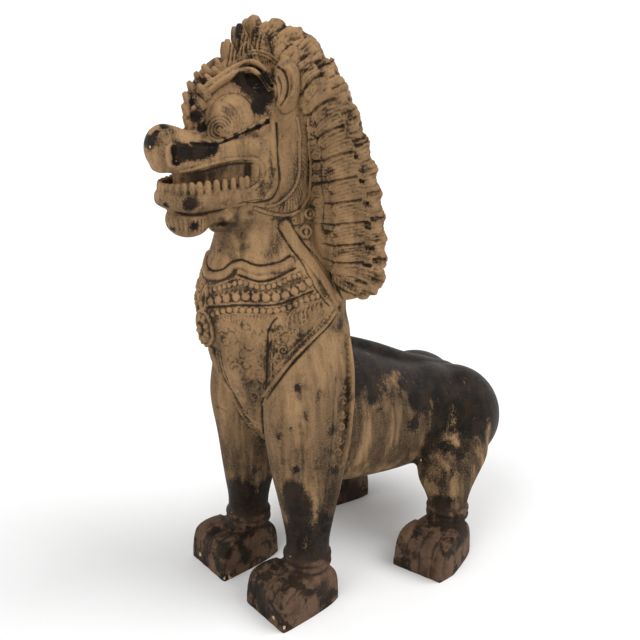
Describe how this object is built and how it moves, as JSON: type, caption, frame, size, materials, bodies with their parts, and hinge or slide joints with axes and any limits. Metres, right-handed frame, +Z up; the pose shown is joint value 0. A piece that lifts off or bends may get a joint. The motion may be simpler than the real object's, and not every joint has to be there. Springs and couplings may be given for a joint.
{
  "type": "guardian lion sculpture",
  "caption": "Standing guardian lion in cast earthenware, with a tall crest of mane locks, open jaws, carved breast panel and four square paws.",
  "frame": {"origin": "on the ground, under the middle of the lion's bounding box", "axes": "+Z up, -Y the way the lion faces, +X its left side"},
  "size_m": [0.3344, 0.551, 0.7606],
  "materials": {
    "worn_glazed_earthenware": "fired clay with a near-black semi-gloss glaze, worn and covered by a matt tan slip"
  },
  "bodies": {
    "root": {"guardian_lion": "worn_glazed_earthenware"}
  },
  "joints": []
}
